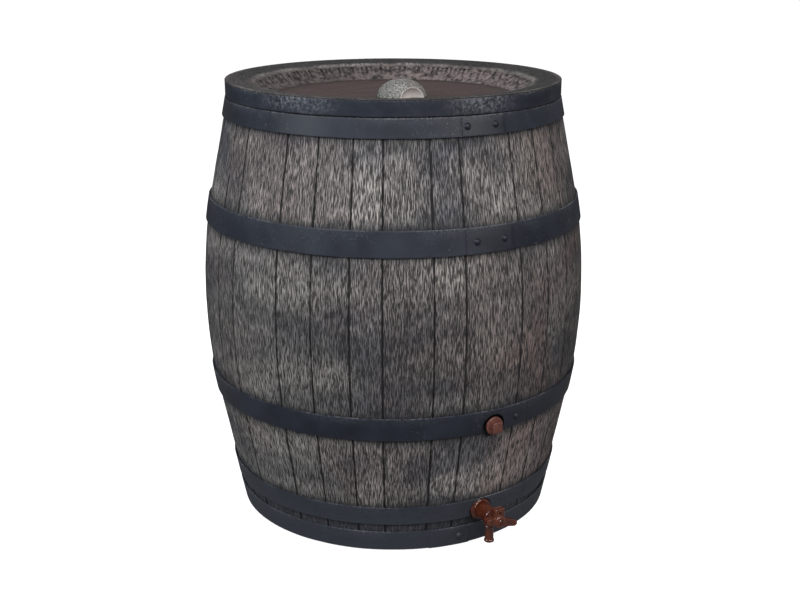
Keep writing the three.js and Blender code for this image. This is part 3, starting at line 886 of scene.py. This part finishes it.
settle_on(plug, "plug", "plug", "plug")

# %% [markdown]
# ## Finishes
# Every finish is a small recipe of nodes. A helper adds a node and wires its inputs in
# one call, so that a recipe reads from top to bottom. What several finishes share,
# such as grain, worn edges and flecks, is a node group with named sockets.

# %% A helper for recipes
class Recipe:
    """Adds nodes to one tree and wires them as they are added."""

    def __init__(self, tree):
        self.tree = tree

    def wire(self, node, inputs):
        for key, value in inputs.items():
            if isinstance(value, bpy.types.NodeSocket):
                self.tree.links.new(value, node.inputs[key])
            else:
                node.inputs[key].default_value = value
        return node.outputs

    def add(self, kind, inputs, output=0, **settings):
        node = self.tree.nodes.new("ShaderNode" + kind)
        for key, value in settings.items():
            setattr(node, key, value)
        return self.wire(node, inputs)[output]

    def noise(self, vector, scale, detail=3, roughness=0.55, distortion=0):
        return self.add("TexNoise", {
            "Vector": vector, "Scale": scale, "Detail": detail,
            "Roughness": roughness, "Distortion": distortion,
        })

    def spread(self, value, low, high, start=0, end=1):
        """Stretches low..high of a value to start..end, and holds it at the ends."""
        return self.add("MapRange", {
            "Value": value, "From Min": low, "From Max": high, "To Min": start, "To Max": end,
        })

    def patches(self, vector, scale, detail, roughness, low, high, start=0, end=1, swirl=0):
        """Noise, with the part between low and high stretched to start..end."""
        return self.spread(self.noise(vector, scale, detail, roughness, swirl),
                           low, high, start, end)

    def math(self, operation, first, second=0.0):
        return self.add("Math", {0: first, 1: second}, operation=operation)

    def times(self, first, second):
        return self.math("MULTIPLY", first, second)

    def part(self, vector, axis):
        return self.add("SeparateXYZ", {0: vector}, axis)

    def wrapped(self, place):
        return self.group("wrapped_place", {"Place": place})["Place"]

    def mix(self, share, first, second):
        """Mixes two colours; a plain one is given as red, green and blue."""
        first, second = ((*c, 1) if isinstance(c, tuple) else c for c in (first, second))
        return self.add("Mix", {0: share, 6: first, 7: second}, 2, data_type="RGBA")

    def stretched(self, vector, *scale):
        return self.add("VectorMath", {0: vector, 1: scale}, operation="MULTIPLY")

    def shifted(self, vector, amount):
        return self.add("VectorMath", {0: vector, 1: amount}, operation="ADD")

    def group(self, name, inputs):
        node = self.tree.nodes.new("ShaderNodeGroup")
        node.node_tree = bpy.data.node_groups[name]
        return self.wire(node, inputs)

    def attribute(self, name):
        return self.add("Attribute", {}, "Fac", attribute_name=name)

    def send(self, source, target):
        self.tree.links.new(source, target)

    def complete(self, color, roughness, height, depth, strength):
        """Sends a colour, a roughness and a relief, its depth in millimetres, to the shader."""
        self.send(color, self.shader["Base Color"])
        self.send(roughness, self.shader["Roughness"])
        bump = self.add("Bump", {"Height": height, "Distance": depth * MM, "Strength": strength})
        self.send(bump, self.shader["Normal"])


# %% New groups and new finishes
VALUE = "NodeSocketFloat"
VECTOR = "NodeSocketVector"


def new_group(name, inputs, outputs):
    """A shared node group, with the sockets that stand at its two ends."""
    tree = bpy.data.node_groups.new(name, "ShaderNodeTree")
    for label, kind in inputs.items():
        tree.interface.new_socket(label, in_out="INPUT", socket_type=kind)
    for label, kind in outputs.items():
        tree.interface.new_socket(label, in_out="OUTPUT", socket_type=kind)
    start = tree.nodes.new("NodeGroupInput")
    end = tree.nodes.new("NodeGroupOutput")
    return Recipe(tree), start.outputs, end.inputs


FINISHES = {}


def new_finish(slot, name, roughness, **constants):
    """A material for one slot: gives back its recipe and the object's own coordinates."""
    paint = FINISHES[slot] = bpy.data.materials.new(name)
    paint.use_nodes = True
    recipe = Recipe(paint.node_tree)
    shader = recipe.shader = paint.node_tree.nodes["Principled BSDF"].inputs
    shader["Roughness"].default_value = roughness
    for key, value in constants.items():
        shader[key.replace("_", " ")].default_value = value
    return recipe, recipe.add("TexCoord", {}, "Object")


# %% [markdown]
# ### Shared effects
# The barrel leans in and out, so a pattern read straight from x, y and z would be
# sliced at a slant. `wrapped_place` lays every point on one upright drum first. The
# grain group then makes wavy upright fibres and wide cloudy stains, and is told how
# far to shift itself for each stave, so that no fibre runs across a joint.

# %% Group: a place wrapped on an upright drum
recipe, start, end = new_group("wrapped_place", {"Place": VECTOR}, {"Place": VECTOR})
flat_place = recipe.stretched(start["Place"], 1, 1, 0)
direction = recipe.add("VectorMath", {0: flat_place}, operation="NORMALIZE")
on_drum = recipe.stretched(direction, 0.35, 0.35, 0)
height_only = recipe.stretched(start["Place"], 0, 0, 1)
recipe.send(recipe.shifted(on_drum, height_only), end["Place"])

# %% Group: wood grain
recipe, start, end = new_group(
    "wood_grain",
    {"Place": VECTOR, "Shift": VALUE},
    {"Fibre": VALUE, "Streak": VALUE, "Cloud": VALUE},
)
shift = recipe.add("CombineXYZ", {"X": start["Shift"], "Y": start["Shift"], "Z": start["Shift"]})
own_place = recipe.shifted(start["Place"], recipe.stretched(shift, 1.7, 2.9, 5.3))
wander = recipe.add("TexNoise", {"Vector": recipe.stretched(own_place, 1, 1, 0.6),
                                 "Scale": 22, "Detail": 2}, "Color")
wander = recipe.stretched(recipe.shifted(wander, (-0.5, -0.5, -0.5)), 0.004, 0.004, 0)
wavy = recipe.shifted(own_place, wander)
fine = recipe.noise(recipe.stretched(wavy, 1, 1, 0.075), 880, 2, 0.5)
coarse = recipe.noise(recipe.stretched(wavy, 1, 1, 0.06), 170, 3, 0.6)
recipe.send(recipe.spread(fine, 0.465, 0.550), end["Fibre"])
recipe.send(recipe.spread(coarse, 0.34, 0.68), end["Streak"])
cloud = recipe.noise(recipe.stretched(start["Place"], 0.7, 0.7, 1.5), 7.5, 3, 0.5, 0.4)
recipe.send(recipe.spread(cloud, 0.38, 0.63), end["Cloud"])

# %% Group: shade beside the hoops
HOOP_SPANS = [(low, high) for low, high, _ in HOOPS.values()]
recipe, start, end = new_group("hoop_shade", {"Place": VECTOR, "Reach": VALUE}, {"Shade": VALUE})
height = recipe.part(start["Place"], "Z")
shade = None
for low, high in HOOP_SPANS:
    off = recipe.math("ABSOLUTE", recipe.math("SUBTRACT", height, (low + high) / 2 * MM))
    off = recipe.math("SUBTRACT", off, (high - low) / 2 * MM)
    near = recipe.math("SUBTRACT", 1.0, recipe.math("DIVIDE", off, start["Reach"]))
    shade = near if shade is None else recipe.math("MAXIMUM", shade, near)
recipe.send(recipe.spread(shade, 0.0, 1.0), end["Shade"])

# %% Group: shade in the round recesses
recipe, start, end = new_group("recess_shade", {"Place": VECTOR}, {"Shade": VALUE})
nearest = None
for bore_height in (TAP_HEIGHT, PLUG_HEIGHT):
    from_axis = recipe.shifted(start["Place"], (0, 0, -bore_height * MM))
    from_axis = recipe.stretched(from_axis, 1, 0, 1)
    reach = recipe.add("VectorMath", {0: from_axis}, "Value", operation="LENGTH")
    nearest = reach if nearest is None else recipe.math("MINIMUM", nearest, reach)
inside = recipe.spread(nearest, 0.0214, 0.0226, 1, 0)
in_front = recipe.math("LESS_THAN", recipe.part(start["Place"], "Y"), -0.2)
recipe.send(recipe.times(inside, in_front), end["Shade"])

# %% Group: worn edges
recipe, start, end = new_group(
    "worn_edge", {"Place": VECTOR, "Edge": VALUE, "Amount": VALUE}, {"Worn": VALUE}
)
patches = recipe.patches(start["Place"], 11, 3, 0.55, 0.38, 0.66)
nicks = recipe.patches(start["Place"], 260, 3, 0.7, 0.40, 0.60)
rubbed = recipe.times(recipe.times(patches, nicks), start["Amount"])
sharp_edge = recipe.math("POWER", start["Edge"], 1.6)
recipe.send(recipe.times(rubbed, sharp_edge), end["Worn"])

# %% Group: pale flecks
recipe, start, end = new_group(
    "flecks", {"Place": VECTOR, "Scale": VALUE, "Amount": VALUE}, {"Fleck": VALUE}
)
grit = recipe.noise(start["Place"], start["Scale"], 2, 0.65)
spots = recipe.spread(grit, 0.62, 0.70)
where = recipe.patches(start["Place"], 9, 3, 0.55, 0.48, 0.66)
recipe.send(recipe.times(recipe.times(spots, where), start["Amount"]),
            end["Fleck"])
print("shared groups", [g.name for g in bpy.data.node_groups])

# %% [markdown]
# ### Staves
# The shell is one grey-brown plastic, brushed with dark paint and rubbed back so that
# the high grain shows pale. Wide warm and mauve stains cross the staves, each stave
# has its own tone, and the paint stays dark in the joints. Beside the hoops it darkens,
# partly with the hoops' paint and partly as painted shade. Painted light makes the
# upper staves and the lower wall lighter, painted shade darkens the right side, and
# the round recesses are painted dark as shade.

# %% Finish: staves
STRIP_TOP = 0.0578  # metres; below it the wall between the two lowest hoops is painted

recipe, place = new_finish("staves", "weathered_staves", 0.78)
wrapped = recipe.wrapped(place)
tone = recipe.attribute("stave_tone")
grain = recipe.group("wood_grain", {"Place": wrapped, "Shift": tone})
fibre, streak, cloud = grain["Fibre"], grain["Streak"], grain["Cloud"]
shade = recipe.group("hoop_shade", {"Place": place, "Reach": 0.022})["Shade"]
joint = recipe.attribute("joint")

ridge = recipe.times(fibre, recipe.spread(streak, 0, 1, 0.70, 1.0))
low_tint = recipe.mix(cloud, (0.019, 0.018, 0.021), (0.038, 0.034, 0.033))
high_tint = recipe.mix(cloud, (0.125, 0.122, 0.134), (0.385, 0.362, 0.345))
across = recipe.part(place, "X")
warm = recipe.patches(wrapped, 4.2, 3, 0.5, 0.46, 0.64, swirl=0.4)
warm = recipe.times(warm, recipe.spread(across, -0.10, 0.22, 0.42, 1.0))
high_tint = recipe.mix(warm, high_tint, (0.335, 0.250, 0.232))
wood_color = recipe.mix(ridge, low_tint, high_tint)
tone_gain = recipe.spread(tone, 0, 1, 0.84, 1.14)
height = recipe.part(place, "Z")
# Painted light: the staves grow lighter upwards, as the light falls from above.
painted_top_light = recipe.spread(height, 0.42, 0.66, 0.92, 1.32)
dusty = recipe.spread(height, 0.20, 0.38, 1.26, 1.0)
# Painted shade: the right side, turned away from the lamps, is made darker.
painted_right_shade = recipe.spread(across, 0.10, 0.30, 1.0, 0.60)
# Painted light lightens the wall below 0.27 m except at the far left; painted shade darkens the
# upper right.
painted_light_low = recipe.times(recipe.spread(height, 0.27, 0.20, 0, 0.36),
                         recipe.spread(across, -0.15, -0.07))
painted_shade_high = recipe.times(recipe.spread(height, 0.55, 0.66, 0, 0.17),
                          recipe.spread(across, 0.02, 0.14))
uneven = recipe.math("SUBTRACT", recipe.math("ADD", painted_light_low, 1.0), painted_shade_high)
for gain in (painted_top_light, dusty, painted_right_shade, uneven):
    tone_gain = recipe.times(tone_gain, gain)
wood_color = recipe.add("VectorMath", {0: wood_color, 1: tone_gain}, operation="MULTIPLY")
# Beside the hoops the wall darkens to blue-black: partly the hoops' paint, partly painted shade.
dark_share = recipe.times(recipe.math("POWER", shade, 1.5), 0.75)
wood_color = recipe.mix(dark_share, wood_color, (0.017, 0.019, 0.024))
in_strip = recipe.math("LESS_THAN", height, STRIP_TOP)
strip_fleck = recipe.group("flecks", {"Place": wrapped, "Scale": 210.0, "Amount": 0.9})["Fleck"]
strip_color = recipe.mix(recipe.times(ridge, 0.7), (0.024, 0.027, 0.038), (0.110, 0.110, 0.124))
strip_color = recipe.mix(strip_fleck, strip_color, (0.34, 0.33, 0.33))
wood_color = recipe.mix(in_strip, wood_color, strip_color)
ragged = recipe.noise(recipe.stretched(wrapped, 1, 1, 0.3), 150, 2)
joint_dark = recipe.math("ADD", joint, recipe.spread(ragged, 0.3, 0.7, -0.22, 0.22))
joint_dark = recipe.spread(joint_dark, 0.52, 0.86, 0, 0.96)
wood_color = recipe.mix(joint_dark, wood_color, (0.008, 0.007, 0.008))
recess = recipe.group("recess_shade", {"Place": place})["Shade"]
wood_color = recipe.mix(recess, wood_color, (0.004, 0.004, 0.005))
grain_height = recipe.math("ADD", recipe.times(fibre, 0.8), recipe.times(streak, 0.25))
recipe.complete(wood_color, recipe.spread(ridge, 0, 1, 0.86, 0.62), grain_height, 1.3, 0.85)

# %% [markdown]
# ### Hoops and rivets
# The hoops are painted a satin blue-grey. Paint is rubbed off along the edges, most
# of all at the top, and fine pale flecks show where the barrel has been knocked. On the
# lid's hoop two rubbed stretches also carry a painted highlight, and the round recesses
# are painted dark as shade.

# %% Finish: hoops
def hoop_finish(slot, name, base, light, wear_amount, fleck_amount):
    """Satin paint in patches of two tones, dusty near the ground, worn and flecked, with a painted
    highlight on the marked stretches and painted shade in the recesses.
    """
    recipe, place = new_finish(slot, name, 0.42, Specular_IOR_Level=0.36)
    wrapped = recipe.wrapped(place)
    soft = recipe.patches(wrapped, 13, 4, 0.6, 0.32, 0.68)
    color = recipe.mix(soft, base, light)
    height = recipe.part(place, "Z")
    dusty = recipe.times(recipe.spread(height, 0.16, 0.06), 0.7)
    color = recipe.mix(dusty, color, (0.052, 0.057, 0.074))
    brushed = recipe.noise(recipe.stretched(wrapped, 1, 1, 7), 60, 3, 0.65)
    color = recipe.mix(recipe.spread(brushed, 0.52, 0.74, 0, 0.4), color, (0.012, 0.013, 0.018))
    worn = recipe.group("worn_edge", {"Place": wrapped, "Edge": recipe.attribute("wear"),
                                      "Amount": wear_amount})["Worn"]
    fleck = recipe.group("flecks", {"Place": wrapped, "Scale": 240.0,
                                    "Amount": fleck_amount})["Fleck"]
    # The marked stretches are rubbed pale and also painted lighter as a highlight.
    scuff = recipe.patches(wrapped, 170, 3, 0.75, 0.44, 0.60, 0.06, 1)
    scuff = recipe.times(recipe.attribute("scuff"), scuff)
    bare_and_highlight = recipe.math("MAXIMUM", recipe.math("MAXIMUM", worn, fleck), scuff)
    color = recipe.mix(bare_and_highlight, color, (0.255, 0.265, 0.295))
    recess = recipe.group("recess_shade", {"Place": place})["Shade"]
    color = recipe.mix(recess, color, (0.004, 0.004, 0.006))
    rough = recipe.spread(soft, 0, 1, 0.42, 0.52)
    rough = recipe.math("ADD", rough, recipe.times(bare_and_highlight, 0.2))
    grit = recipe.noise(wrapped, 420, 2, 0.6)
    bumps = recipe.math("SUBTRACT", recipe.times(grit, 0.35), bare_and_highlight)
    recipe.complete(color, rough, bumps, 0.35, 0.5)


hoop_finish("hoop", "blue_grey_hoops", (0.0105, 0.013, 0.022), (0.023, 0.028, 0.042), 0.7, 0.4)
hoop_finish("rivet", "dark_rivets", (0.009, 0.011, 0.019), (0.019, 0.023, 0.036), 0.0, 0.12)

# %% [markdown]
# ### Lid
# Three zones share the lid: a grey-brown grained rim, a wall rubbed pale with dark
# tool marks, and a floor stained red-brown in planks. The zones are told apart by
# height, and the marks by how deep they lie behind the wall's cone. Painted light
# makes the wall paler on the right and the rim's grain paler on the left, and painted
# shade darkens the floor's outer edge where it meets the wall.

# %% Finish: lid
recipe, place = new_finish("lid", "grained_lid", 0.74, Specular_IOR_Level=0.25)
height = recipe.part(place, "Z")
wrapped = recipe.wrapped(place)
lengthways = recipe.add("Mapping", {"Vector": place, "Rotation": (0, math.pi / 2, 0)})
floor_grain = recipe.group("wood_grain", {"Place": lengthways, "Shift": 0.0})
rim_grain = recipe.patches(place, 210, 3, 0.65, 0.40, 0.64)
stain = recipe.patches(place, 9, 4, 0.6, 0.36, 0.64, swirl=0.4)

floor_color = recipe.mix(floor_grain["Streak"], (0.040, 0.024, 0.023), (0.082, 0.053, 0.050))
floor_color = recipe.mix(recipe.times(floor_grain["Fibre"], 0.35), floor_color,
                         (0.125, 0.098, 0.094))
floor_color = recipe.mix(recipe.times(stain, 0.45), floor_color, (0.070, 0.052, 0.050))
flat_place = recipe.stretched(place, 1, 1, 0)
from_middle = recipe.add("VectorMath", {0: flat_place}, "Value", operation="LENGTH")
# Painted shade: the floor darkens towards its edge, where it meets the wall.
corner = recipe.spread(from_middle, 0.200, 0.228)
floor_color = recipe.mix(recipe.times(corner, 0.65), floor_color, (0.030, 0.025, 0.025))

bands = recipe.noise(recipe.stretched(wrapped, 1, 1, 3.2), 60, 4, 0.7)
wall_share = recipe.spread(bands, 0.38, 0.62)
across = recipe.part(place, "X")
# Painted light: the wall is paler on the right, where it faces the lamps.
painted_wall_light = recipe.mix(recipe.spread(across, 0.02, 0.2), (0.150, 0.128, 0.122),
                        (0.245, 0.200, 0.195))
wall_color = recipe.mix(wall_share, (0.026, 0.023, 0.023), painted_wall_light)
wall_top = recipe.spread(height, 0.7905, 0.8000)
wall_color = recipe.mix(recipe.times(wall_top, 0.55), wall_color, (0.085, 0.077, 0.076))

rim_color = recipe.mix(stain, (0.013, 0.0125, 0.014), (0.028, 0.025, 0.026))
# Painted light: the rim's grain shows paler on the left, towards the side lamp.
painted_left_light = recipe.spread(across, -0.28, -0.16, 0.75, 0.22)
rim_color = recipe.mix(recipe.times(rim_grain, painted_left_light), rim_color, (0.115, 0.104, 0.102))

color = recipe.mix(recipe.spread(height, 0.7716, 0.7735), floor_color, wall_color)
color = recipe.mix(recipe.spread(height, 0.7985, 0.8005), color, rim_color)
sunk = recipe.times(recipe.attribute("sunk"), 0.72)
color = recipe.mix(sunk, color, (0.018, 0.016, 0.016))
worn = recipe.group("worn_edge", {"Place": wrapped, "Edge": recipe.attribute("wear"),
                                  "Amount": 1.0})["Worn"]
color = recipe.mix(worn, color, (0.36, 0.33, 0.32))
uneven = recipe.math("ADD", recipe.times(rim_grain, 0.6), floor_grain["Streak"])
recipe.complete(color, recipe.spread(rim_grain, 0, 1, 0.82, 0.64), uneven, 0.7, 0.6)

# %% [markdown]
# ### Knob
# Pale grey, like a weathered stone: dark paint is left in the pits of the stipple, and
# the scoops, where thumbs rub, are smooth and lighter: partly worn pale, partly painted light.

# %% Finish: knob
recipe, place = new_finish("knob", "pale_knob", 0.8)
pits = recipe.patches(place, 370, 3, 0.75, 0.42, 0.58)
stain = recipe.patches(place, 38, 3, 0.6, 0.36, 0.66)
stipple_color = recipe.mix(pits, (0.060, 0.060, 0.057), (0.42, 0.41, 0.385))
stipple_color = recipe.mix(recipe.times(stain, 0.35), stipple_color, (0.13, 0.13, 0.125))
# The scoops' paler colour is partly wear and partly painted light.
smooth_color = recipe.mix(stain, (0.56, 0.52, 0.50), (0.40, 0.37, 0.35))
scooped = recipe.attribute("scoop")
color = recipe.mix(scooped, stipple_color, smooth_color)
dents = recipe.mix(scooped, pits, (0.5, 0.5, 0.5))
recipe.complete(color, recipe.spread(scooped, 0, 1, 0.84, 0.6), dents, 0.8, 0.7)

# %% [markdown]
# ### Tap and plug
# Both are red-brown plastic. The tap is new and glossy, with the faint ripple of a
# moulded skin; the plug is duller and a little dusty, and behind its flange it is
# painted dark as shade.

# %% Finish: red-brown plastic
def plastic_finish(slot, name, deep, light, roughness, dust, coat, grime_from=1.0):
    """Plastic with settled dust; from one Y, in metres, backwards it is painted dark as shade."""
    recipe, place = new_finish(slot, name, roughness, Coat_Weight=coat, Coat_Roughness=0.12)
    swirl = recipe.patches(place, 70, 3, 0.55, 0.35, 0.65, swirl=1.2)
    color = recipe.mix(swirl, deep, light)
    settled = recipe.patches(place, 420, 3, 0.7, 0.50, 0.72, 0, dust)
    color = recipe.mix(settled, color, (0.30, 0.22, 0.19))
    depth = recipe.part(place, "Y")
    # Painted shade: from that Y backwards the plastic turns near black.
    grime = recipe.spread(depth, grime_from, grime_from + 0.0012, 0, 0.95)
    color = recipe.mix(grime, color, (0.006, 0.004, 0.004))
    rough = recipe.spread(swirl, 0, 1, roughness - 0.05, roughness + 0.08)
    recipe.complete(color, rough, recipe.noise(place, 260, 2, 0.5), 0.16, 0.5)


plastic_finish("tap", "glossy_tap", (0.062, 0.010, 0.004), (0.115, 0.024, 0.006), 0.17, 0.02, 0.9)
# The plug is painted dark as shade behind its flange.
plastic_finish("plug", "satin_plug", (0.090, 0.022, 0.015), (0.160, 0.056, 0.042),
               0.38, 0.28, 0.2, grime_from=-0.3468)

# %% [markdown]
# ### Metal and rubber
# These are hidden until the barrel is taken apart. Brass and steel keep fine turning
# lines round their axes; rubber is dull, with a trace of talc.

# %% Finish: metal and rubber
def metal_finish(slot, name, base, bright, roughness):
    """Bright metal with fine turning lines and a little tarnish."""
    recipe, place = new_finish(slot, name, roughness, Metallic=1.0)
    lines = recipe.noise(recipe.stretched(place, 1, 14, 1), 160, 3, 0.6)
    tarnish = recipe.patches(place, 90, 3, 0.55, 0.4, 0.65)
    rough = recipe.spread(lines, 0.3, 0.7, roughness - 0.08, roughness + 0.14)
    recipe.complete(recipe.mix(tarnish, bright, base), rough, lines, 0.08, 0.4)


metal_finish("brass", "turned_brass", (0.45, 0.29, 0.11), (0.72, 0.52, 0.24), 0.3)
metal_finish("steel", "plated_steel", (0.42, 0.43, 0.45), (0.66, 0.67, 0.68), 0.28)

recipe, place = new_finish("rubber", "black_rubber", 0.75)
talc = recipe.patches(place, 300, 3, 0.7, 0.55, 0.75, 0, 0.4)
color = recipe.mix(talc, (0.012, 0.012, 0.013), (0.09, 0.09, 0.09))
rough = recipe.spread(talc, 0, 0.4, 0.68, 0.85)
recipe.complete(color, rough, recipe.noise(place, 500, 2), 0.1, 0.5)
print("finishes for", list(FINISHES))

# %% Give every piece its finish
slot_of_node = {part["node"]: part["material_slot"] for part in frame["record"]["subparts"]}
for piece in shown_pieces():
    kind = slot_of_node.get(piece.name) or piece["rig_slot"]
    piece.data.materials.clear()
    piece.data.materials.append(FINISHES[kind])
    print(piece.name, "is finished as", kind)
